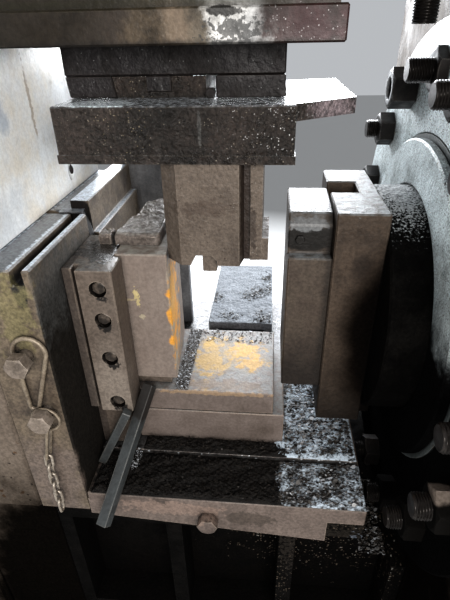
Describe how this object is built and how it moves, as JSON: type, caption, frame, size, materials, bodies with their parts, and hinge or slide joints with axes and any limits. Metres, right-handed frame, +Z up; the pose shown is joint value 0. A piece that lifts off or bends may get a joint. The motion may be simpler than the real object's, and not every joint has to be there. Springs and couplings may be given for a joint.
{
  "type": "hydraulic press",
  "caption": "Heavy hydraulic shop press: a vertical ram with slide, holder and punch, a horizontal side ram with die, a fixed die on a bolted rail and a lower die on the bed, worn and oily.",
  "frame": {"origin": "on the floor, under the middle of the tool space between the two housings", "axes": "+Z up along the main ram, +X from the fixed die towards the side ram, +Y from the front, where the operator stands, to the back"},
  "size_m": [1.96, 1.23, 3.04],
  "materials": {
    "bed_cast_black": "black oily casting",
    "base_plate_steel": "brown worn steel",
    "bed_plate_scale": "steel under scale flakes",
    "housing_paint": "old olive paint, oily",
    "guide_bright": "bright wet steel",
    "cylinder_paint": "dark grey-green paint",
    "stop_rod_steel": "oily threaded steel",
    "ram_chrome": "ground and polished",
    "slide_paint": "worn green-yellow paint over brown steel",
    "adapter_oily": "black oily steel",
    "holder_oily": "brown oily steel",
    "punch_steel": "taupe worn steel",
    "rail_olive": "olive-brown mottled steel",
    "die_holder_steel": "oily brown steel",
    "bolt_steel": "worn steel heads",
    "fixed_die_steel": "taupe brushed steel",
    "lower_die_steel": "taupe steel with yellow paint wear",
    "table_pale": "pale wet steel",
    "guard_grey": "grey paint",
    "link_forged": "worn forged steel",
    "chain_zinc": "worn zinc plating",
    "bar_grey": "dark grey rolled steel",
    "flange_wet": "pale wet face over worn paint",
    "ram_dark": "dark oily ram surface",
    "ram_head_rust": "rust-brown steel"
  },
  "bodies": {
    "frame": {"bed_beam": "bed_cast_black", "base_plate": "base_plate_steel", "base_bolt": "base_plate_steel", "bed_plate": "bed_plate_scale", "left_housing": "housing_paint", "right_housing": "housing_paint", "crown": "housing_paint", "left_guide_plate": "guide_bright", "main_cylinder": "cylinder_paint", "main_gland": "cylinder_paint", "main_lock_ring": "cylinder_paint", "stop_rod": "stop_rod_steel", "front_rail": "rail_olive", "rear_rail": "rail_olive", "die_holder": "die_holder_steel", "die_packer": "die_holder_steel", "rail_clip": "die_holder_steel", "rail_bolt_1": "bolt_steel", "rail_bolt_2": "bolt_steel", "holder_bolt_1": "bolt_steel", "holder_bolt_2": "bolt_steel", "holder_bolt_3": "bolt_steel", "holder_bolt_4": "bolt_steel", "fixed_die": "fixed_die_steel", "die_cap": "fixed_die_steel", "cap_stop": "fixed_die_steel", "lower_die": "lower_die_steel", "lower_die_base": "lower_die_steel", "rear_table": "table_pale", "rear_guard": "guard_grey", "pear_link": "link_forged", "chain_ring": "link_forged", "oblong_link": "link_forged", "chain_link_1": "chain_zinc", "chain_link_2": "chain_zinc", "chain_link_3": "chain_zinc", "chain_link_4": "chain_zinc", "chain_link_5": "chain_zinc", "chain_link_6": "chain_zinc", "leaning_bar": "bar_grey", "short_bar": "bar_grey", "side_cylinder": "flange_wet", "side_flange": "flange_wet", "side_gland": "flange_wet"},
    "slide_unit": {"slide": "slide_paint", "main_ram": "ram_chrome", "guide_rod_left": "ram_chrome", "guide_rod_right": "ram_chrome", "adapter_plate": "adapter_oily", "left_clamp_jaw": "adapter_oily", "right_clamp_jaw": "adapter_oily", "tool_holder": "holder_oily", "holder_key": "adapter_oily", "clamp_bolt": "adapter_oily", "punch": "punch_steel", "punch_peg": "punch_steel"},
    "side_ram_unit": {"side_ram": "ram_dark", "ram_head": "ram_head_rust", "side_die": "ram_head_rust", "side_die_bolt": "ram_head_rust"}
  },
  "joints": [
    {"name": "slide_travel", "type": "slide", "parent": "frame", "child": "slide_unit", "axis": [0, 0, -1], "range_m": [-0.15, 0.11]},
    {"name": "side_ram_travel", "type": "slide", "parent": "frame", "child": "side_ram_unit", "axis": [-1, 0, 0], "range_m": [-0.07, 0.03]}
  ]
}
